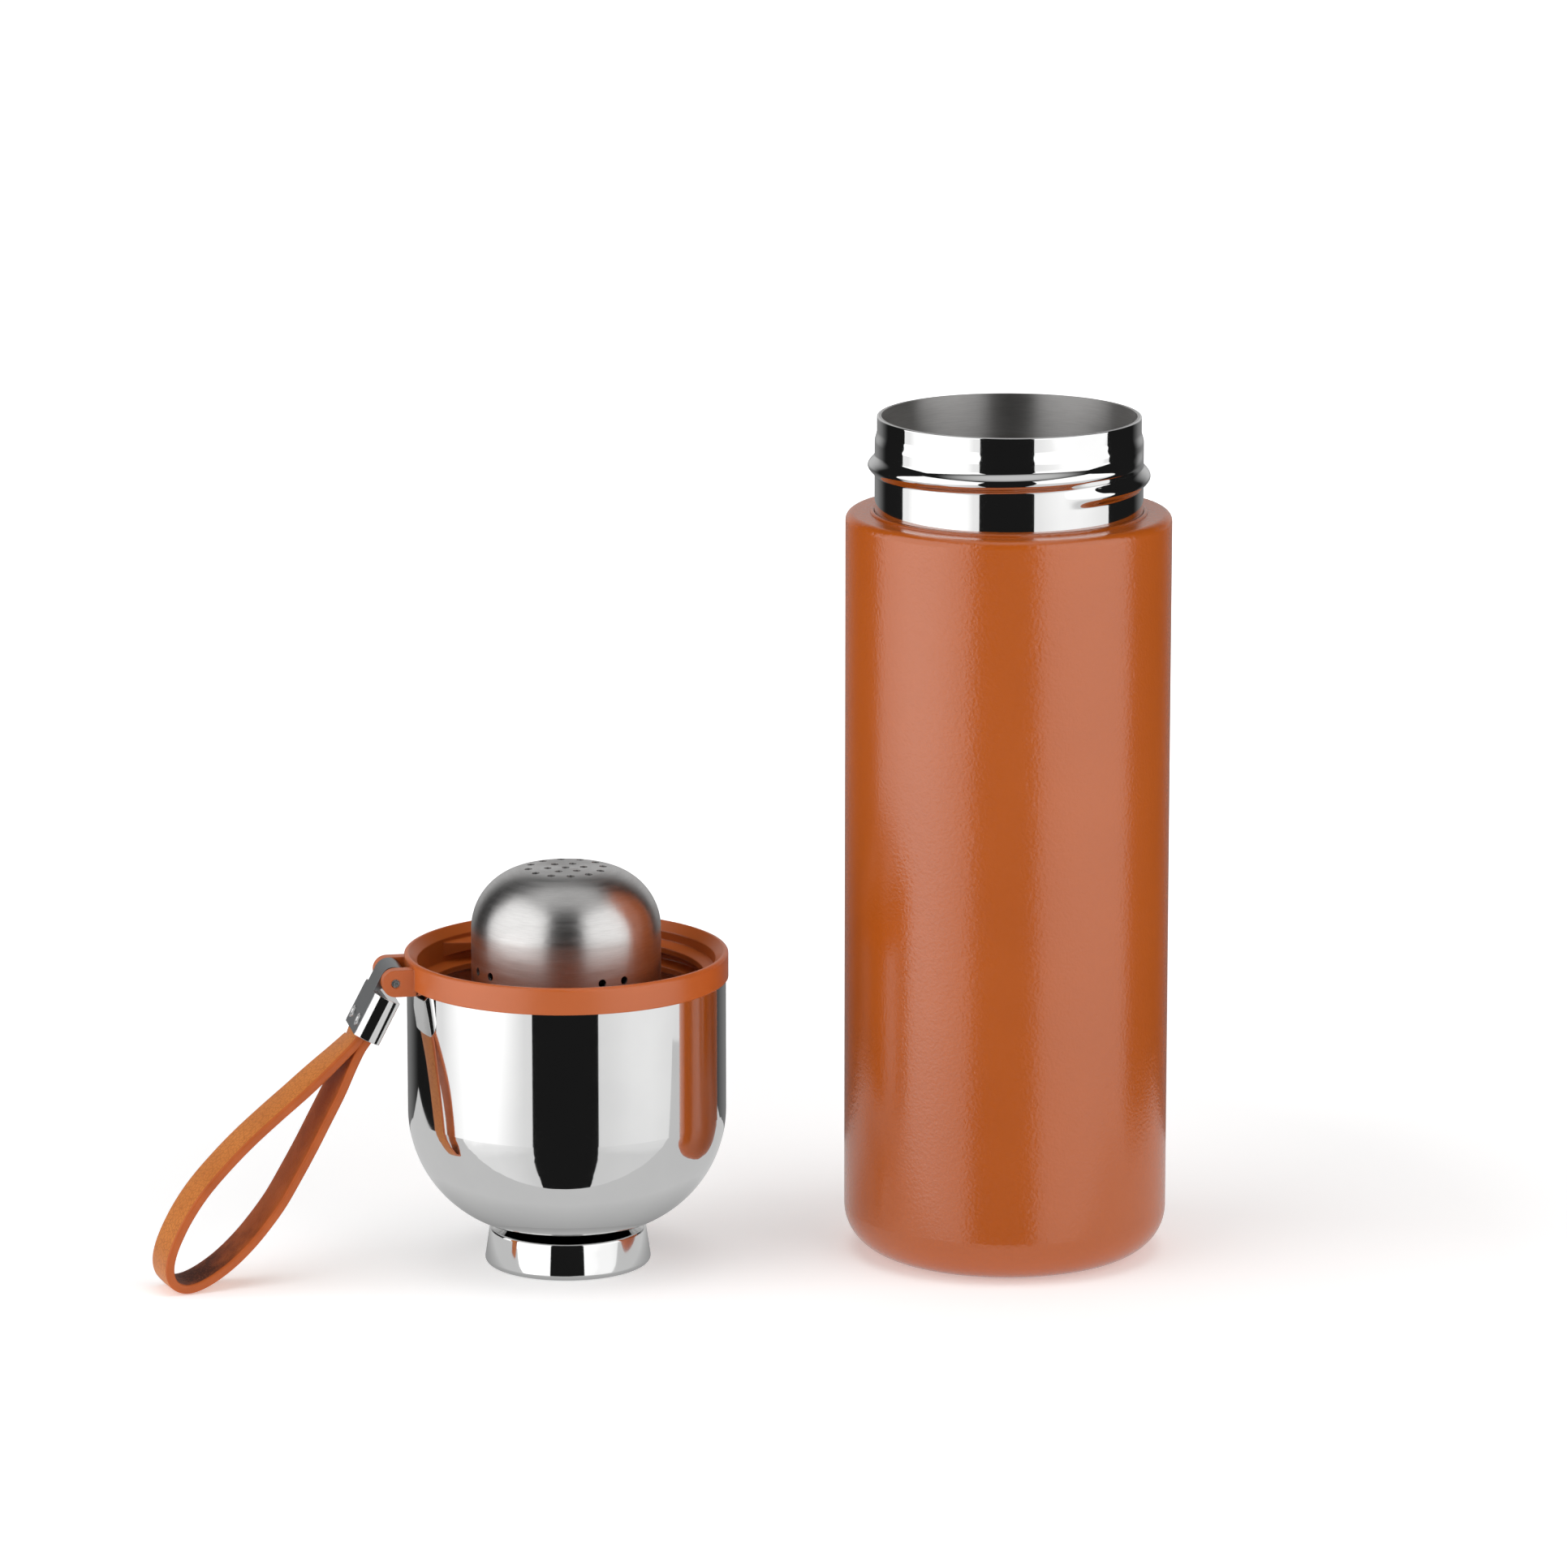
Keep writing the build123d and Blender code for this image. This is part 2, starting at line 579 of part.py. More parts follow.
# Strap sleeve: the polished cast ferrule round both ends of the leather, with bowed sides.
with BuildPart() as strap_sleeve:
    with BuildSketch(bracket_section(PLATE_START)) as sleeve_section:
        with BuildLine():
            Line((SLEEVE_W / 2, KNUCKLE_R), (-SLEEVE_W / 2, KNUCKLE_R))
            ThreePointArc(
                (-SLEEVE_W / 2, KNUCKLE_R),
                (-SLEEVE_W / 2 - SLEEVE_BULGE, SLEEVE_MID),
                (-SLEEVE_W / 2, KNUCKLE_R - SLEEVE_T),
            )
            Line((-SLEEVE_W / 2, KNUCKLE_R - SLEEVE_T), (SLEEVE_W / 2, KNUCKLE_R - SLEEVE_T))
            ThreePointArc(
                (SLEEVE_W / 2, KNUCKLE_R - SLEEVE_T),
                (SLEEVE_W / 2 + SLEEVE_BULGE, SLEEVE_MID),
                (SLEEVE_W / 2, KNUCKLE_R),
            )
        make_face()
        fillet(sleeve_section.vertices().group_by(Axis.Z)[:2], radius=SLEEVE_EDGE_R)
    extrude(amount=PLATE_END - PLATE_START)
    with BuildSketch(bracket_section(PLATE_START + SLEEVE_CAP_T)):
        with Locations((0, SLOT_MID)):
            Rectangle(SLOT_W, SLOT_T)
    extrude(amount=PLATE_END, mode=Mode.SUBTRACT)
    add(strap_bracket.part, mode=Mode.SUBTRACT)
    add(strap_rivets.part, mode=Mode.SUBTRACT)

# Strap: one leather band, folded into a loop with both ends stacked in the sleeve.
MOUTH = on_bracket(PLATE_END, SLOT_MID)
MOUTH_POINT = HINGE_PLANE.from_local_coords(Vector(MOUTH.X, MOUTH.Y, 0))
STRAP_PLANE = upright_plane(Vector(MOUTH_POINT.X, MOUTH_POINT.Y, 0), STRAP_YAW)
LEAF = STRAP_T / 2
MOUTH_Z = MOUTH_POINT.Z
OUTER_EXIT = Vector(LEAF * SLOPE_NORMAL.X, MOUTH_Z + LEAF * SLOPE_NORMAL.Y)
INNER_EXIT = Vector(-LEAF * SLOPE_NORMAL.X, MOUTH_Z - LEAF * SLOPE_NORMAL.Y)
with BuildPart() as strap:
    with BuildSketch(STRAP_PLANE):
        with BuildLine() as loop:
            outer_leaf = Spline(OUTER_EXIT, *LOOP_OUTER, LOOP_TIP, tangents=[DOWN_SLOPE, (0, -1)])
            bend = ThreePointArc(LOOP_TIP, LOOP_FOLD, LOOP_REST)
            inner_leaf = Spline(bend @ 1, *LOOP_INNER, INNER_EXIT, tangents=[bend % 1, -DOWN_SLOPE])
        trace(loop.line, line_width=STRAP_T)
    extrude(amount=STRAP_W / 2, both=True)
    with BuildSketch(bracket_section(PLATE_START + SLEEVE_CAP_T)):
        with Locations((0, SLOT_MID)):
            RectangleRounded(STRAP_W, 2 * STRAP_T, TONGUE_CORNER_R)
    extrude(amount=PLATE_END - PLATE_START - SLEEVE_CAP_T + TONGUE_OUT)
    add(strap_rivets.part, mode=Mode.SUBTRACT)

# ================================================================ labels and files

PIECES = {
    "outer_shell": outer_shell,
    "base_cap": base_cap,
    "base_disc": base_disc,
    "vacuum_seal": vacuum_seal,
    "getter": getter,
    "neck_collar": neck_collar,
    "inner_flask": inner_flask,
    "foil_wrap": foil_wrap,
    "lid_shell": lid_shell,
    "foot_ring": foot_ring,
    "lid_collar": lid_collar,
    "lid_liner": lid_liner,
    "lid_insulation": lid_insulation,
    "lid_gasket": lid_gasket,
    "infuser_socket": infuser_socket,
    "hinge_pin": hinge_pin,
    "infuser_dome": infuser_dome,
    "infuser_ring": infuser_ring,
    "infuser_oring": infuser_oring,
    "strap_bracket": strap_bracket,
    "strap_sleeve": strap_sleeve,
    "strap_rivets": strap_rivets,
    "strap": strap,
}

os.makedirs("parts", exist_ok=True)
for name, piece in PIECES.items():
    piece.part.label = name
    export_step(piece.part, f"parts/{name}.step")
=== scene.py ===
import json
import math

import bmesh
import bpy
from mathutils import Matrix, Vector


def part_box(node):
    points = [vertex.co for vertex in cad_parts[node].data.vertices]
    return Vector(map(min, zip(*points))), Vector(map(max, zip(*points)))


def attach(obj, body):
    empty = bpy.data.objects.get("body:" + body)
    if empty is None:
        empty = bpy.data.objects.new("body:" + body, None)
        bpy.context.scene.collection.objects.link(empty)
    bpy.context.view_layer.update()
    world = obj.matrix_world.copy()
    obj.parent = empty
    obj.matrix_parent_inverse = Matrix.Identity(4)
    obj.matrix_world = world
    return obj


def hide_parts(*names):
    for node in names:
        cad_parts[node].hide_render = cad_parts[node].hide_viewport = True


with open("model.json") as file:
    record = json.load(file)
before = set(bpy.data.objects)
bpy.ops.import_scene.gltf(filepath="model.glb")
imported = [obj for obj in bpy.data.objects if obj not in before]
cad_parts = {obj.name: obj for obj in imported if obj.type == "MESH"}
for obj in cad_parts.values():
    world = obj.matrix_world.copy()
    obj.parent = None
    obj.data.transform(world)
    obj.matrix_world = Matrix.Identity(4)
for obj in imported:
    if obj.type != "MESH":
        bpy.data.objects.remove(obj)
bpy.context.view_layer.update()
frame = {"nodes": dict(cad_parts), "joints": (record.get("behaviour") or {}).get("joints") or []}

MM = 0.001
WHITE = (1, 1, 1, 1)
JOINTS = {joint["name"]: joint for joint in frame["joints"]}


# ================================================================ places read from the frame

def centre_of(node):
    low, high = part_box(node)
    return (low + high) / 2


BOTTLE_AXIS = centre_of("outer_shell")
LID_AXIS = centre_of("lid_shell")
MIDDLE_X = LID_AXIS.x / 2


# ================================================================ camera

# Metres from the centre of the bottle's base, then degrees, two lengths in millimetres and metres.
CAMERA_FROM_BOTTLE = Vector((-0.0495, -1.7369, 0.4934))
CAMERA_PITCH = 12.577
CAMERA_LENS = 184.17
CAMERA_SENSOR = 36.0
CAMERA_REACH = 50.0


def add(name, data):
    """A new object in the scene for a mesh, a lamp or a camera."""
    made = bpy.data.objects.new(name, data)
    bpy.context.scene.collection.objects.link(made)
    return made


def make_camera():
    data = bpy.data.cameras.new("camera")
    data.lens = CAMERA_LENS
    data.sensor_width = CAMERA_SENSOR
    data.clip_end = CAMERA_REACH
    camera = add("camera", data)
    camera.location = CAMERA_FROM_BOTTLE
    camera.rotation_euler = (math.radians(90 - CAMERA_PITCH), 0, 0)
    bpy.context.scene.camera = camera


# ================================================================ node helpers

# Most of a noise texture's values lie between these two.
NOISE_LOW = 0.3
NOISE_HIGH = 0.7
BEVEL_SAMPLES = 6


class Nodes:
    """A node tree, with short calls for the nodes that the materials and the studio share."""

    def __init__(self, tree):
        self.tree = tree

    def node(self, kind, **settings):
        made = self.tree.nodes.new(kind)
        for key, value in settings.items():
            setattr(made, key, value)
        return made

    def link(self, out, into):
        self.tree.links.new(out, into)

    def fill(self, socket, value):
        if isinstance(value, bpy.types.NodeSocket):
            self.link(value, socket)
        else:
            socket.default_value = value

    def place(self, kind="Object"):
        return self.node("ShaderNodeTexCoord").outputs[kind]

    def parts(self, vector):
        """The X, Y and Z of a vector, by name."""
        made = self.node("ShaderNodeSeparateXYZ")
        self.link(vector, made.inputs[0])
        return made.outputs

    def math(self, operation, *values):
        made = self.node("ShaderNodeMath", operation=operation)
        for socket, value in zip(made.inputs, values):
            self.fill(socket, value)
        return made.outputs[0]

    def noise(self, vector, scale, detail=2.0, roughness=0.5):
        made = self.node("ShaderNodeTexNoise")
        self.link(vector, made.inputs["Vector"])
        made.inputs["Scale"].default_value = scale
        made.inputs["Detail"].default_value = detail
        made.inputs["Roughness"].default_value = roughness
        return made.outputs["Fac"]

    def cells(self, vector, scale, feature="F1"):
        made = self.node("ShaderNodeTexVoronoi", feature=feature)
        self.link(vector, made.inputs["Vector"])
        made.inputs["Scale"].default_value = scale
        return made.outputs["Distance"]

    def span(self, value, low, high, to_low=0.0, to_high=1.0, curve="LINEAR"):
        """Map low..high onto to_low..to_high, and hold the ends."""
        made = self.node("ShaderNodeMapRange", clamp=True, interpolation_type=curve)
        self.fill(made.inputs["Value"], value)
        for key, end in (("From Min", low), ("From Max", high), ("To Min", to_low), ("To Max", to_high)):
            made.inputs[key].default_value = end
        return made.outputs["Result"]

    def spread(self, noise, to_low=0.0, to_high=1.0):
        """Map a noise's usual values onto to_low..to_high."""
        return self.span(noise, NOISE_LOW, NOISE_HIGH, to_low, to_high)

    def mix(self, factor, one, other):
        made = self.node("ShaderNodeMix", data_type="RGBA")
        self.fill(made.inputs["Factor"], factor)
        self.fill(made.inputs["A"], (*one, 1) if isinstance(one, tuple) else one)
        self.fill(made.inputs["B"], (*other, 1) if isinstance(other, tuple) else other)
        return made.outputs["Result"]

    def stretched(self, vector, sizes):
        made = self.node("ShaderNodeMapping")
        self.link(vector, made.inputs["Vector"])
        made.inputs["Scale"].default_value = sizes
        return made.outputs["Vector"]

    def turned(self, centre):
        """Coordinates round an upright axis through centre: (turn in radians, radius, height)."""
        parts = self.parts(self.place())
        x = self.math("SUBTRACT", parts["X"], centre.x)
        y = self.math("SUBTRACT", parts["Y"], centre.y)
        turn = self.math("ARCTAN2", y, x)
        squares = self.math("ADD", self.math("MULTIPLY", x, x), self.math("MULTIPLY", y, y))
        joined = self.node("ShaderNodeCombineXYZ")
        for socket, value in zip(joined.inputs, (turn, self.math("SQRT", squares), parts["Z"])):
            self.link(value, socket)
        return joined.outputs[0]

    def far_from(self, point):
        """Distance from a point."""
        made = self.node("ShaderNodeVectorMath", operation="DISTANCE")
        self.link(self.place(), made.inputs[0])
        made.inputs[1].default_value = point
        return made.outputs["Value"]


class Shader(Nodes):
    """A new material, and its Principled BSDF."""

    def __init__(self, name):
        self.material = bpy.data.materials.new(name)
        self.material.use_nodes = True
        super().__init__(self.material.node_tree)
        self.bsdf = self.tree.nodes["Principled BSDF"]

    def set(self, **values):
        for key, value in values.items():
            self.fill(self.bsdf.inputs[key.replace("_", " ")], value)

    def bump(self, *layers, edge=None):
        """Stack bump layers, each (height socket, strength, depth), over edges rounded by a radius."""
        last = None
        if edge:
            rounded = self.node("ShaderNodeBevel", samples=BEVEL_SAMPLES)
            rounded.inputs["Radius"].default_value = edge
            last = rounded.outputs["Normal"]
        for height, strength, depth in layers:
            made = self.node("ShaderNodeBump")
            made.inputs["Strength"].default_value = strength
            made.inputs["Distance"].default_value = depth
            self.link(height, made.inputs["Height"])
            if last:
                self.link(last, made.inputs["Normal"])
            last = made.outputs["Normal"]
        self.link(last, self.bsdf.inputs["Normal"])


# ================================================================ materials

STEEL = (0.72, 0.71, 0.70)
FLASK_STEEL = (0.68, 0.67, 0.66)
BRACKET_STEEL = (0.31, 0.32, 0.33)
PIN_STEEL = (0.72, 0.72, 0.71)
FOIL = (0.85, 0.85, 0.86)
GETTER_METAL = (0.20, 0.20, 0.21)
COLLAR_ORANGE = (0.56, 0.120, 0.018)
LINER_BLACK = (0.045, 0.040, 0.038)

# Heights above the table between which painted shade on the strap's lining gives way to its lit tan, and
# their unevenness.
SHADED_BELOW = 2 * MM
LIT_ABOVE = 12 * MM
SHADE_EDGE_UNEVEN = 4 * MM


def darker(colour, share):
    return tuple(c * share for c in colour)


def powder_coat():
    """Satin orange powder coat with a fine pebbled grain."""
    s = Shader("powder_coat")
    place = s.place()
    pebble = s.noise(place, 1500)
    swell = s.noise(place, 620)
    tone = s.spread(s.noise(place, 30, 3))
    s.set(Base_Color=s.mix(tone, (0.460, 0.092, 0.0070), (0.490, 0.101, 0.0088)))
    s.set(Roughness=s.spread(pebble, 0.16, 0.23), Specular_IOR_Level=1.0)
    s.bump((swell, 0.30, 0.08 * MM), (pebble, 0.80, 0.08 * MM))
    return s.material


def polished_steel(name, centre, edge=None):
    """Mirror-polished steel with faint turning lines and slight smudges."""
    s = Shader(name)
    lines = s.noise(s.stretched(s.turned(centre), (0.6, 900, 900)), 1.0)
    smudge = s.noise(s.place(), 55, 4)
    s.set(Base_Color=s.mix(s.spread(smudge), (0.80, 0.80, 0.80), (0.85, 0.85, 0.845)), Metallic=1.0)
    s.set(Roughness=s.span(smudge, 0.3, 0.8, 0.03, 0.06))
    s.bump((lines, 0.08, 0.004 * MM), edge=edge)
    return s.material


def brushed_steel(name, centre, colour, rough, sheen):
    """Steel brushed round an upright axis: fine streaks run round, sheen runs up and down."""
    s = Shader(name)
    turned = s.turned(centre)
    fine = s.noise(s.stretched(turned, (7.0, 3600, 3600)), 1.0, 4, 0.6)
    broad = s.noise(s.stretched(turned, (1.2, 700, 700)), 1.0, 3, 0.6)
    s.set(Base_Color=s.mix(s.span(fine, 0.25, 0.75), darker(colour, 0.86), colour), Metallic=1.0)
    s.set(Roughness=s.spread(broad, rough - 0.04, rough + 0.05))
    s.set(Anisotropic=sheen, Anisotropic_Rotation=0.25)
    s.bump((fine, 0.03, 0.004 * MM))
    return s.material


def satin_sheet(name, colour, rough, edge):
    """Rolled steel sheet with a short random grain."""
    s = Shader(name)
    grain = s.noise(s.stretched(s.place(), (1.0, 1.0, 0.25)), 9000, 3, 0.7)
    s.set(Base_Color=s.mix(s.spread(grain), darker(colour, 0.86), colour), Metallic=1.0)
    s.set(Roughness=s.spread(grain, rough - 0.04, rough + 0.06))
    s.bump((grain, 0.1, 0.01 * MM), edge=edge)
    return s.material


def plain_metal(name, colour, rough, scale):
    """Foil, getter and pin metal: a small crumple or grain."""
    s = Shader(name)
    grain = s.noise(s.place(), scale, 4)
    s.set(Base_Color=s.mix(s.spread(grain), darker(colour, 0.85), colour), Metallic=1.0)
    s.set(Roughness=s.spread(grain, rough - 0.05, rough + 0.08))
    s.bump((grain, 0.2, 0.03 * MM))
    return s.material


def moulded_plastic(name, colour, rough, edge):
    """Satin moulding with a faint flow and a very fine spark-eroded grain."""
    s = Shader(name)
    place = s.place()
    flow = s.noise(place, 60, 3)
    grain = s.noise(place, 6500)
    s.set(Base_Color=s.mix(s.spread(flow), darker(colour, 0.93), colour))
    s.set(Roughness=s.spread(flow, rough - 0.03, rough + 0.04), Specular_IOR_Level=0.8)
    s.set(Subsurface_Weight=0.04, Subsurface_Scale=2 * MM)
    s.bump((grain, 0.12, 0.01 * MM), edge=edge)
    return s.material


def silicone():
    """Matt grey silicone with a little dust."""
    s = Shader("silicone")
    dust = s.noise(s.place(), 240, 4)
    s.set(Base_Color=s.mix(s.spread(dust), (0.50, 0.50, 0.48), (0.62, 0.62, 0.60)))
    s.set(Roughness=s.spread(dust, 0.5, 0.62), Subsurface_Weight=0.1, Subsurface_Scale=3 * MM)
    return s.material


def foam():
    """Pale beaded foam."""
    s = Shader("foam")
    beads = s.cells(s.place(), 420)
    s.set(Base_Color=s.mix(s.span(beads, 0.1, 0.6), (0.86, 0.85, 0.80), (0.66, 0.65, 0.60)), Roughness=0.9)
    s.bump((beads, 0.5, 0.3 * MM))
    return s.material


def seal_glass():
    """Green-grey fused glass bead."""
    s = Shader("seal_glass")
    swirl = s.noise(s.place(), 900)
    s.set(Base_Color=s.mix(swirl, (0.35, 0.45, 0.42), (0.55, 0.62, 0.60)), Roughness=0.15)
    return s.material


def leather_face():
    """Smooth tan leather: fine pores, soft tone changes and a slight wax sheen."""
    s = Shader("leather_face")
    place = s.place()
    pores = s.cells(place, 1900)
    creases = s.cells(place, 900, "DISTANCE_TO_EDGE")
    tone = s.spread(s.noise(place, 90, 4, 0.6))
    colour = s.mix(tone, (0.60, 0.186, 0.032), (0.70, 0.240, 0.048))
    colour = s.mix(s.span(creases, 0.0, 0.12), (0.48, 0.135, 0.022), colour)
    s.set(Base_Color=colour, Roughness=s.span(tone, 0.0, 1.0, 0.40, 0.50), Specular_IOR_Level=0.45)
    s.bump((s.span(creases, 0.0, 0.15), 0.22, 0.06 * MM), (pores, 0.20, 0.05 * MM))
    return s.material


def leather_edge():
    """Painted and burnished edge of the strap."""
    s = Shader("leather_edge")
    place = s.place()
    brush = s.noise(place, 700, 3)
    tone = s.spread(s.noise(place, 130, 3))
    s.set(Base_Color=s.mix(tone, (0.45, 0.092, 0.014), (0.54, 0.118, 0.020)))
    s.set(Roughness=s.spread(brush, 0.34, 0.46), Specular_IOR_Level=0.4)
    s.bump((brush, 0.25, 0.06 * MM))
    return s.material


def leather_lining():
    """Grained inner side of the strap: tan above, with painted shade in deep brown, and rougher, where the
    loop bends at its foot.
    """
    s = Shader("leather_lining")
    place = s.place()
    grain = s.noise(place, 2600, 4, 0.7)
    patch = s.noise(place, 190, 4, 0.6)
    nap = s.cells(place, 1700)
    height = s.math("ADD", s.parts(place)["Z"], s.spread(patch, -SHADE_EDGE_UNEVEN, SHADE_EDGE_UNEVEN))
    # Painted shade: below these heights the lining is coloured deep brown, inside the loop's bend near the
    # table.
    lit_share = s.span(height, SHADED_BELOW, LIT_ABOVE)
    painted_shade = s.mix(s.span(nap, 0.1, 0.5), (0.26, 0.080, 0.032), (0.120, 0.036, 0.016))
    # Painted highlight: lighter specks on the grain's peaks in the shaded part stand for light catching the
    # nap.
    painted_shade = s.mix(s.span(grain, 0.58, 0.74), painted_shade, (0.46, 0.19, 0.10))
    tan = s.mix(s.span(patch, 0.35, 0.65), (0.42, 0.100, 0.019), (0.52, 0.130, 0.028))
    s.set(Base_Color=s.mix(lit_share, painted_shade, tan))
    s.set(Roughness=s.span(lit_share, 0.0, 1.0, 0.60, 0.46), Specular_IOR_Level=0.35)
    s.bump((grain, 0.6, 0.10 * MM), (nap, 0.4, 0.08 * MM))
    return s.material


def give(material, *nodes):
    """Put one material on the whole of each CAD node."""
    for name in nodes:
        mesh = frame["nodes"][name].data
        mesh.materials.clear()
        mesh.materials.append(material)


def dress_nodes():
    give(powder_coat(), "outer_shell")
    give(polished_steel("polished_lid", LID_AXIS), "lid_shell")
    give(polished_steel("polished_foot", LID_AXIS, 0.3 * MM), "foot_ring")
    give(polished_steel("polished_sleeve", LID_AXIS, 0.25 * MM), "strap_sleeve")
    give(brushed_steel("brushed_flask", BOTTLE_AXIS, FLASK_STEEL, 0.40, 0.85), "inner_flask")
    give(brushed_steel("brushed_base", BOTTLE_AXIS, STEEL, 0.32, 0.4), "base_cap", "base_disc")
    give(brushed_steel("brushed_infuser", LID_AXIS, STEEL, 0.33, 0.6), "infuser_dome", "infuser_socket")
    give(satin_sheet("bracket_steel", BRACKET_STEEL, 0.32, 0.2 * MM), "strap_bracket")
    give(plain_metal("pin_steel", PIN_STEEL, 0.24, 3000), "hinge_pin")
    give(polished_steel("polished_rivet", LID_AXIS, 0.18 * MM), "strap_rivets")
    give(plain_metal("foil", FOIL, 0.22, 200), "foil_wrap")
    give(plain_metal("getter_metal", GETTER_METAL, 0.55, 2500), "getter")
    give(moulded_plastic("collar_plastic", COLLAR_ORANGE, 0.32, 0.45 * MM), "lid_collar")
    give(moulded_plastic("liner_plastic", LINER_BLACK, 0.42, 0.3 * MM), "lid_liner", "infuser_ring")
    give(silicone(), "lid_gasket", "infuser_oring")
    give(foam(), "lid_insulation")
    give(seal_glass(), "vacuum_seal")


# ================================================================ mesh helpers

def ease(share):
    """Smooth step from 0 to 1."""
    share = min(1.0, max(0.0, share))
    return share * share * (3 - 2 * share)


def join_rings(bm, one, other):
    """Smooth faces between two rings of as many vertices, in their order round the ring."""
    count = len(one)
    faces = []
    for k in range(count):
        ahead = (k + 1) % count
        face = bm.faces.new((one[k], one[ahead], other[ahead], other[k]))
        face.smooth = True
        faces.append(face)
    return faces


def mesh_of(bm, name, *materials):
    mesh = bpy.data.meshes.new(name)
    bm.to_mesh(mesh)
    bm.free()
    for material in materials:
        mesh.materials.append(material)
    return mesh


# ================================================================ neck

NECK_R = 29.6 * MM
LIP_R = 29.1 * MM
BORE_R = 28.65 * MM
STEP_HIGH = 3.2 * MM
STEP_LOW = 5.7 * MM
LIP_ROUND = 0.22 * MM
LIP_STEPS = 6
NECK_ROW = 0.16 * MM
NECK_TURN_STEPS = 540

# The rolled thread: its section and pitch, then where it starts, ends and fades, in degrees of turn from +X.
RIDGE_H = 1.52 * MM
RIDGE_HALF = 2.35 * MM
RIDGE_SHARPNESS = 1.5
RIDGE_BELOW_LIP = 13.95 * MM
PITCH = 4.4 * MM
RIDGE_START = -68.0
RIDGE_END = 358.0
FADE_IN = 18.0
FADE_OUT = 42.0


def ridge_height(turn, below_lip):
    """Height of the rolled thread at a turn from +X (degrees) and a depth below the lip."""
    tallest = 0.0
    for lap in (turn - 360, turn, turn + 360):
        if RIDGE_START <= lap <= RIDGE_END:
            middle = RIDGE_BELOW_LIP - PITCH * (lap - RIDGE_START) / 360
            near = min(1.0, abs(below_lip - middle) / RIDGE_HALF)
            section = math.cos(near * math.pi / 2) ** RIDGE_SHARPNESS
            grown = ease((lap - RIDGE_START) / FADE_IN) * ease((RIDGE_END - lap) / FADE_OUT)
            tallest = max(tallest, RIDGE_H * section * grown)
    return tallest


def neck_profile(depth):
    """Outer side of the neck without its thread, from the lip down: (radius, depth below the lip)."""
    profile = []
    for i in range(LIP_STEPS + 1):
        a = math.radians(90 * i / LIP_STEPS)
        profile.append((LIP_R - LIP_ROUND * (1 - math.sin(a)), LIP_ROUND * (1 - math.cos(a))))
    rows = int((depth - LIP_ROUND) / NECK_ROW)
    for i in range(1, rows + 1):
        below = LIP_ROUND + (depth - LIP_ROUND) * i / rows
        step = ease((below - STEP_HIGH) / (STEP_LOW - STEP_HIGH))
        profile.append((LIP_R + (NECK_R - LIP_R) * step, below))
    return profile


def neck_ring(bm, lip, radius, below, threaded):
    """One ring of the neck's vertices, pushed out where the thread passes."""
    ring = []
    for k in range(NECK_TURN_STEPS):
        turn = 360 * k / NECK_TURN_STEPS
        out = radius + (ridge_height(turn, below) if threaded else 0.0)
        x = BOTTLE_AXIS.x + out * math.cos(math.radians(turn))
        y = BOTTLE_AXIS.y + out * math.sin(math.radians(turn))
        ring.append(bm.verts.new((x, y, lip - below)))
    return ring


def make_neck():
    low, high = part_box("neck_collar")
    depth = high.z - low.z
    bm = bmesh.new()
    rings = [neck_ring(bm, high.z, radius, below, True) for radius, below in neck_profile(depth)]
    rings += [neck_ring(bm, high.z, BORE_R, below, False) for below in (depth, 0.0)]
    for one, other in zip(rings, rings[1:]):
        join_rings(bm, one, other)
    join_rings(bm, rings[-1], rings[0])
    bmesh.ops.recalc_face_normals(bm, faces=bm.faces)
    mesh = mesh_of(bm, "neck_rolled", polished_steel("polished_neck", BOTTLE_AXIS))
    piece = add("neck_rolled", mesh)
    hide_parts("neck_collar")
    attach(piece, "bottle")


# ================================================================ strap

STRAP_W = 10.5 * MM
STRAP_T = 2.0 * MM
STRAP_CORNER = 0.45 * MM
STRAP_CROWN = 0.12 * MM
STRAP_YAW = 21.6
BRACKET_SLOPE = 62.5
MOUTH_ALONG = 14.2 * MM
MOUTH_OUT = 0.25 * MM
TONGUE = 9.0 * MM
UNTWIST = 16.0 * MM
LEAF = STRAP_T / 2
FACE_STEPS = 8
CORNER_STEPS = 4
LOOP_STEPS = 8
FACE, EDGE, LINING = 0, 1, 2
# The loop's centre line outside the sleeve: distance from its mouth and height above the table, mm.
LOOP_ROUTE = (
    (1.9, 53.2),
    (5.3, 50.3),
    (9.8, 46.7),
    (15.1, 42.5),
    (20.9, 38.1),
    (27.3, 33.0),
    (32.8, 28.0),
    (37.8, 22.8),
    (41.6, 17.7),
    (44.4, 12.7),
    (46.0, 8.6),
    (46.4, 5.4),
    (45.6, 2.9),
    (43.7, 1.5),
    (41.0, 1.35),
    (37.2, 2.7),
    (32.6, 5.5),
    (28.2, 9.2),
    (24.3, 13.3),
    (20.3, 18.3),
    (16.5, 24.3),
    (13.1, 30.0),
    (9.7, 36.1),
    (6.3, 42.2),
    (3.5, 47.3),
    (1.0, 51.4),
)


def smooth_through(points, steps):
    """Catmull-Rom curve through the points, with its first and last runs carried straight on as handles."""
    ends = [2 * points[0] - points[1], *points, 2 * points[-1] - points[-2]]
    curve = []
    for a, b, c, d in zip(ends, ends[1:], ends[2:], ends[3:]):
        for i in range(steps):
            t = i / steps
            squared = (2 * a - 5 * b + 4 * c - d) * t * t
            cubed = (3 * b - a - 3 * c + d) * t ** 3
            curve.append(0.5 * (2 * b + (c - a) * t + squared + cubed))
    curve.append(points[-1])
    return curve


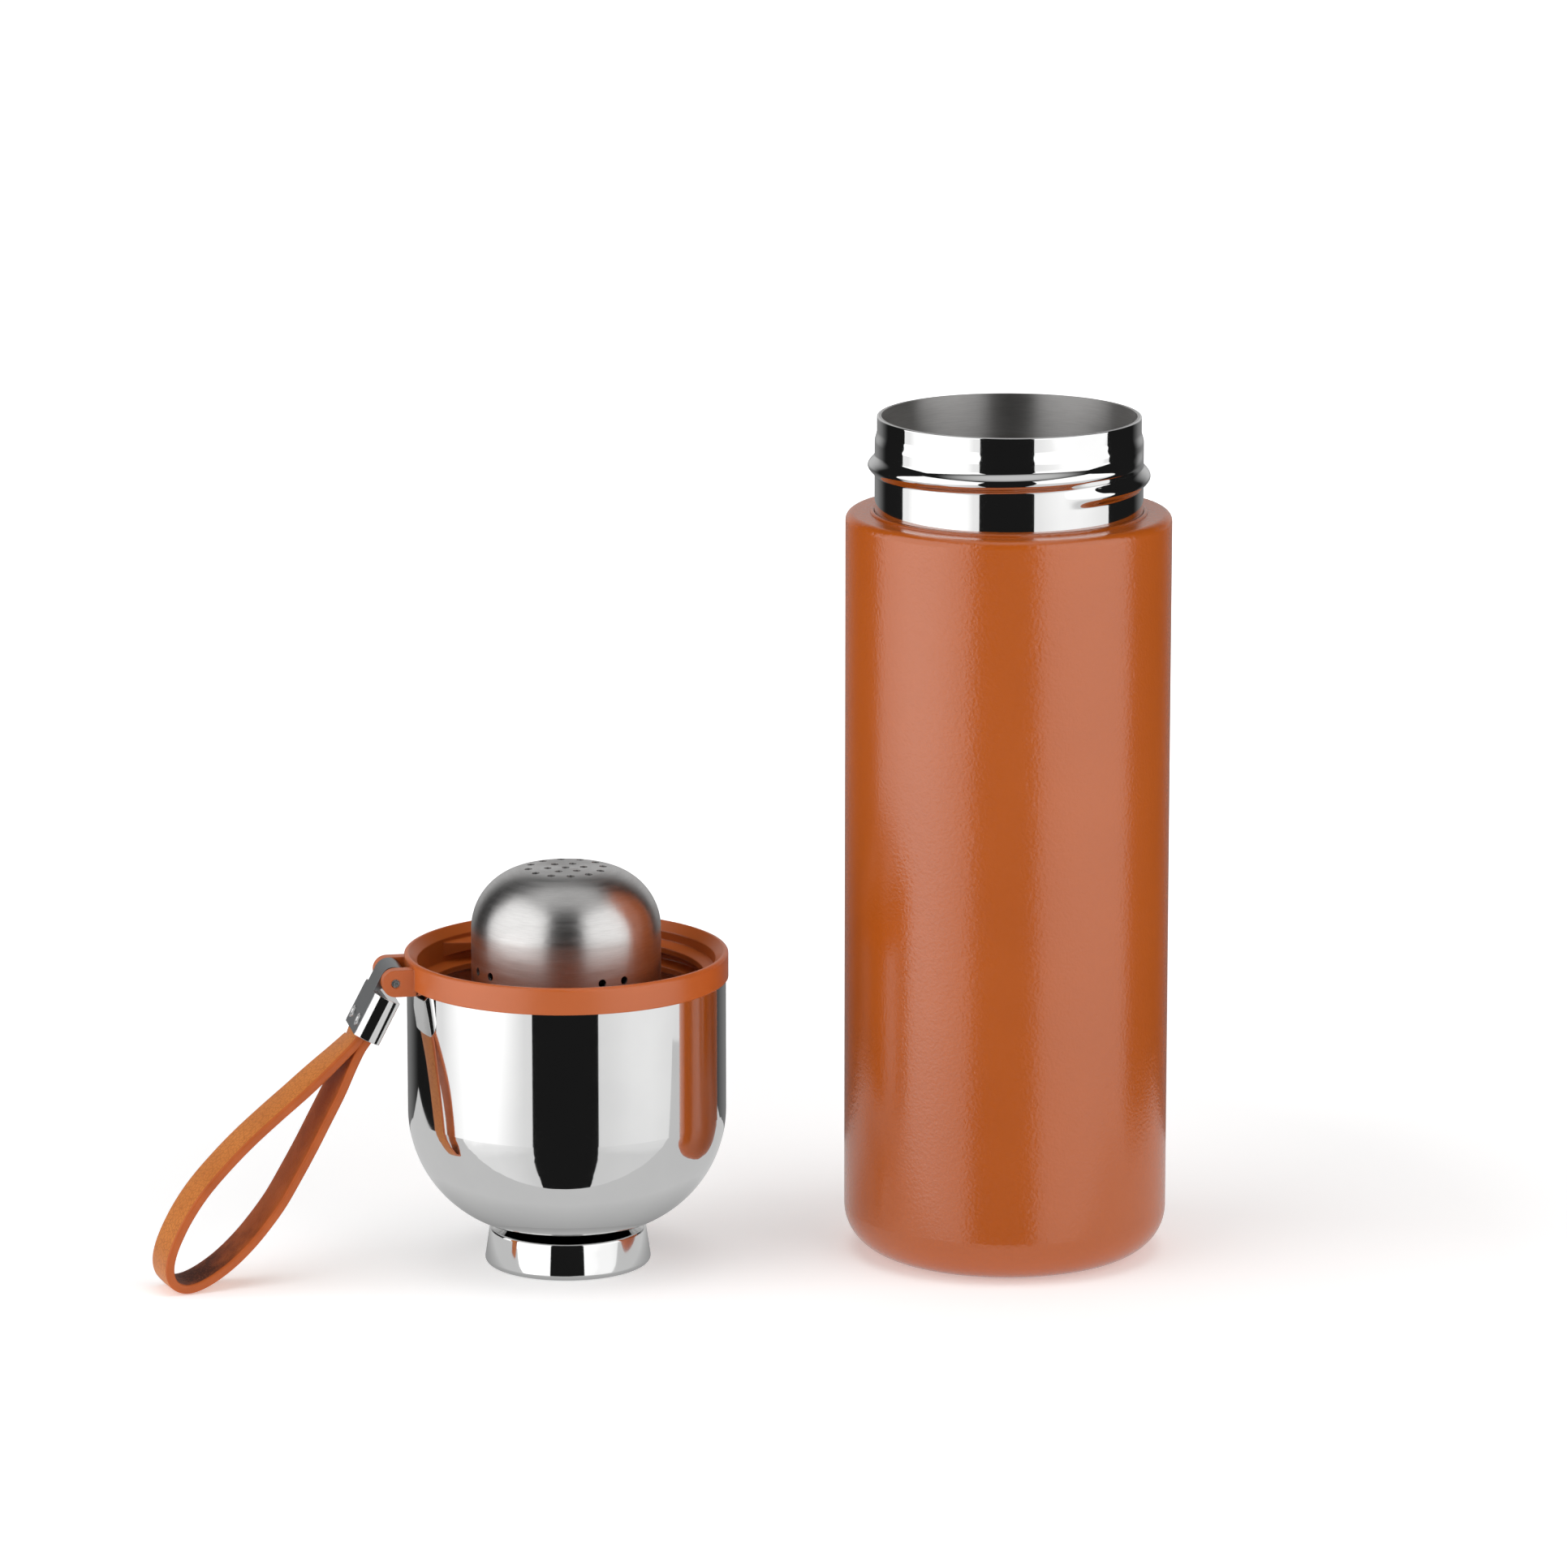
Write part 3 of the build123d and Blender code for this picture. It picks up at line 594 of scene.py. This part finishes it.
def strap_line():
    """Centre line of the whole leather band, and the direction of its width at each point."""
    pivot = Vector(JOINTS["strap_swing"]["pos_m"])
    back = Vector(JOINTS["strap_swing"]["axis"]).normalized()
    left = back.cross(Vector((0, 0, 1)))
    if left.x > 0:
        left = -left
    slope = math.radians(BRACKET_SLOPE)
    down = left * math.cos(slope) - Vector((0, 0, math.sin(slope)))
    out = left * math.sin(slope) + Vector((0, 0, math.cos(slope)))
    mouth = pivot + down * MOUTH_ALONG + out * MOUTH_OUT
    yaw = math.radians(STRAP_YAW)
    away = Vector((-math.cos(yaw), -math.sin(yaw), 0))
    across = Vector((math.sin(yaw), -math.cos(yaw), 0))
    foot = Vector((mouth.x, mouth.y, 0))
    loop = [foot + away * (s * MM) + Vector((0, 0, z * MM)) for s, z in LOOP_ROUTE]
    tongue = [mouth - down * TONGUE, mouth - down * (TONGUE / 2), mouth]
    route = [p + out * LEAF for p in tongue] + loop + [p - out * LEAF for p in reversed(tongue)]
    line = smooth_through(route, LOOP_STEPS)
    widths = []
    for point in line:
        untwisted = ease((point - mouth).dot(down) / UNTWIST)
        widths.append((-back).lerp(across, untwisted).normalized())
    return line, widths


def band_profile():
    """Section of the band, once round: (across, through, and FACE, EDGE or LINING)."""
    half_w, half_t = STRAP_W / 2, STRAP_T / 2
    flat = half_w - STRAP_CORNER
    rows = []
    for i in range(FACE_STEPS + 1):
        x = -flat + 2 * flat * i / FACE_STEPS
        rows.append((x, half_t + STRAP_CROWN * (1 - (x / flat) ** 2), FACE))
    for i in range(1, CORNER_STEPS):
        a = math.radians(90 - 90 * i / CORNER_STEPS)
        rows.append((flat + STRAP_CORNER * math.cos(a), half_t - STRAP_CORNER * (1 - math.sin(a)), EDGE))
    rows.append((half_w, half_t - STRAP_CORNER, EDGE))
    rows.append((half_w + STRAP_CROWN, 0.0, EDGE))
    under = [(x, -t, LINING if part == FACE else EDGE) for x, t, part in reversed(rows[:-1])]
    right = rows + under
    right_edge = right[FACE_STEPS + 1:-FACE_STEPS - 1]
    return right + [(-x, t, part) for x, t, part in reversed(right_edge)]


def make_strap():
    line, widths = strap_line()
    profile = band_profile()
    parts = [part for _, _, part in profile]
    sides = [EDGE if EDGE in pair else pair[0] for pair in zip(parts, parts[1:] + parts[:1])]
    bm = bmesh.new()
    rings = []
    for i, (point, width) in enumerate(zip(line, widths)):
        ahead = (line[min(i + 1, len(line) - 1)] - line[max(i - 1, 0)]).normalized()
        through = ahead.cross(width).normalized()
        width = through.cross(ahead).normalized()
        rings.append([bm.verts.new(point + width * x + through * t) for x, t, _ in profile])
    for one, other in zip(rings, rings[1:]):
        for face, side in zip(join_rings(bm, one, other), sides):
            face.material_index = side
    for cap in (rings[0], list(reversed(rings[-1]))):
        bm.faces.new(cap).material_index = EDGE
    bmesh.ops.recalc_face_normals(bm, faces=bm.faces)
    mesh = mesh_of(bm, "strap_leather", leather_face(), leather_edge(), leather_lining())
    piece = add("strap_leather", mesh)
    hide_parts("strap")
    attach(piece, "strap")


# ================================================================ studio

FLOOR_R = 1.15
FLOOR_SIDES = 96
FLOOR_WHITE = (0.985, 0.985, 0.985)
# The floor's own glow grows between the first two radii, from the third value to the fourth.
FLOOR_GLOW = (0.16, 0.55, 0.33, 1.0)
BACKDROP_R = 6.0
BACKDROP_GLOW = 1.1

# The table that mirrors see: its edges from the lid's axis, its half length and its height.
TABLE_FRONT = -50 * MM
TABLE_BACK = 105 * MM
TABLE_HALF = 200 * MM
TABLE_Z = -1 * MM
# The lid's shade on it: how far behind the lid's axis, then its radii and glows as for the floor.
SHADE_BEHIND = 14 * MM
SHADE_GLOW = (0.020, 0.050, 0.30, 0.60)

# The tall panels: the top of their lamps, and the foot of the part under them that only mirrors see.
# A panel's middle and core are narrower lamps, as shares of its width, in the middle of the wide one.
PANEL_TOP = 1.5
PANEL_LOW = -2.1
MIDDLE_WIDE = 0.62
CORE_WIDE = 0.34
# Under the lamps: the heights between which the panel and its core fade, the core's least share there,
# and the shares of the half width between which the core ends.
PANEL_FADE = (-0.45, -0.05)
CORE_FADE = (-0.28, -0.10)
CORE_LEAST = 0.15
CORE_EDGE = (0.2, 0.8)

OVERHEAD = 1.2
OVERHEAD_Z = 1.4
OVERHEAD_GLOW = 0.9
ROOM_GLOW = 0.011


def hide_from(thing, ray):
    """Let a thing cast no light or shadow, and hide it from one kind of ray: camera or glossy."""
    for kind in ("diffuse", "transmission", "volume_scatter", "shadow", ray):
        setattr(thing, "visible_" + kind, False)


def glowing(name, strength):
    """Plain light of one strength, or of a strength that strength(shader) works out from its place."""
    s = Shader(name)
    s.material.cycles.emission_sampling = "NONE"
    glow = s.node("ShaderNodeEmission")
    glow.inputs["Color"].default_value = WHITE
    s.fill(glow.inputs["Strength"], strength(s) if callable(strength) else strength)
    s.link(glow.outputs[0], s.tree.nodes["Material Output"].inputs["Surface"])
    return s.material


def floor_paper():
    """White paper that turns into plain light beyond the reach of the lamps."""
    s = Shader("floor_paper")
    fibre = s.noise(s.place(), 900, 3)
    s.set(Base_Color=s.mix(fibre, darker(FLOOR_WHITE, 0.985), FLOOR_WHITE), Roughness=0.9)
    s.set(Specular_IOR_Level=0.1)
    s.set(Emission_Color=WHITE, Emission_Strength=s.span(s.far_from((0, 0, 0)), *FLOOR_GLOW))
    s.material.cycles.emission_sampling = "NONE"
    return s.material


def stage_face(name, points, material):
    """One flat face of the studio with the given corners."""
    bm = bmesh.new()
    bm.faces.new([bm.verts.new(p) for p in points])
    piece = add(name, mesh_of(bm, name, material))
    return piece


def make_floor():
    circle = [math.radians(360 * k / FLOOR_SIDES) for k in range(FLOOR_SIDES)]
    rim = [(FLOOR_R * math.cos(a), FLOOR_R * math.sin(a), 0) for a in circle]
    floor = stage_face("floor", rim, floor_paper())
    floor.location.x = MIDDLE_X
    floor.visible_glossy = False


def make_table():
    """What mirrors see in place of the floor: a pale table top, with the lid's shade on it."""
    west, east = MIDDLE_X - TABLE_HALF, MIDDLE_X + TABLE_HALF
    front, back = LID_AXIS.y + TABLE_FRONT, LID_AXIS.y + TABLE_BACK
    corners = [(west, front, TABLE_Z), (east, front, TABLE_Z), (east, back, TABLE_Z), (west, back, TABLE_Z)]
    under = (LID_AXIS.x, LID_AXIS.y + SHADE_BEHIND, TABLE_Z)
    light = glowing("table_light", lambda s: s.span(s.far_from(under), *SHADE_GLOW))
    hide_from(stage_face("table", corners, light), "camera")


def make_backdrop():
    """A white sphere all round, which only the camera sees."""
    bm = bmesh.new()
    bmesh.ops.create_uvsphere(bm, u_segments=48, v_segments=24, radius=BACKDROP_R)
    backdrop = add("backdrop", mesh_of(bm, "backdrop", glowing("backdrop_light", BACKDROP_GLOW)))
    hide_from(backdrop, "glossy")


def area_lamp(name, wide, tall, glow):
    """A rectangular lamp of a given size whose face has the given brightness."""
    data = bpy.data.lights.new(name, "AREA")
    data.shape = "RECTANGLE"
    data.size = wide
    data.size_y = tall
    data.energy = 4 * wide * tall * glow
    return add(name, data)


def panel(name, near, far, bright, core, dim):
    """A tall soft light with upright edges at near and far, brighter by core in its middle.

    Its part below the table's height shows only in mirrors, and fades to dim.
    """
    near, far = Vector(near), Vector(far)
    span = far - near
    middle = (near + far) / 2
    normal = Vector((span.y, -span.x, 0)).normalized()
    if normal.dot(Vector((MIDDLE_X - middle.x, -middle.y, 0))) < 0:
        normal = -normal
    lamps = (("_wide", 1.0, bright), ("_middle", MIDDLE_WIDE, core / 2), ("_core", CORE_WIDE, core / 2))
    for part, share, glow in lamps:
        lamp = area_lamp(name + part, span.length * share, PANEL_TOP, glow)
        lamp.location = (middle.x, middle.y, PANEL_TOP / 2)
        lamp.rotation_euler = (-normal).to_track_quat("Z", "Y").to_euler()

    def fading(s):
        place = s.parts(s.place())
        side = s.math("ABSOLUTE", s.math("SUBTRACT", place["Y"], middle.y))
        inner, outer = (abs(span.y) / 2 * edge for edge in CORE_EDGE)
        low_core = s.span(place["Z"], *CORE_FADE, CORE_LEAST)
        peak = s.math("MULTIPLY", s.span(side, inner, outer, core, 0), low_core)
        return s.math("ADD", peak, s.span(place["Z"], *PANEL_FADE, dim, bright))

    foot, top = [(*near, PANEL_LOW), (*far, PANEL_LOW)], [(*far, 0), (*near, 0)]
    hide_from(stage_face(name + "_low", foot + top, glowing(name + "_light", fading)), "camera")


def make_lights():
    left_near, left_far = (MIDDLE_X - 0.575, -1.25), (MIDDLE_X - 1.15, 0.30)
    panel("panel_left", left_near, left_far, bright=0.98, core=0.85, dim=0.70)
    right_near, right_far = (MIDDLE_X + 0.50, -1.25), (MIDDLE_X + 1.13, 0.04)
    panel("panel_right", right_near, right_far, bright=0.95, core=0.15, dim=0.68)
    above = area_lamp("overhead", OVERHEAD, OVERHEAD, OVERHEAD_GLOW)
    above.location = (MIDDLE_X, 0, OVERHEAD_Z)
    above.visible_glossy = False


def make_room():
    """Light from all round: nearly none, but for a soft wall behind and a soft ceiling."""
    world = bpy.data.worlds.new("studio")
    bpy.context.scene.world = world
    world.use_nodes = True
    w = Nodes(world.node_tree)
    ground = w.tree.nodes["Background"]
    ground.inputs["Color"].default_value = WHITE
    toward = w.parts(w.place("Generated"))
    wall = w.span(toward["Y"], 0.66, 0.98, 0.0, 0.55, "SMOOTHSTEP")
    above_floor = w.span(toward["Z"], -0.25, 0.05, 0.35, 1.0, "SMOOTHSTEP")
    below_top = w.span(toward["Z"], 0.40, 0.75, 1.0, 0.45, "SMOOTHSTEP")
    ceiling = w.span(toward["Z"], 0.80, 0.96, 0.0, 0.60, "SMOOTHSTEP")
    wall = w.math("MULTIPLY", w.math("MULTIPLY", wall, above_floor), below_top)
    w.link(w.math("ADD", w.math("ADD", wall, ceiling), ROOM_GLOW), ground.inputs["Strength"])


# ================================================================ the scene

make_camera()
make_floor()
make_table()
make_backdrop()
make_lights()
make_room()
dress_nodes()
make_neck()
make_strap()
bpy.context.scene.view_settings.view_transform = "Standard"
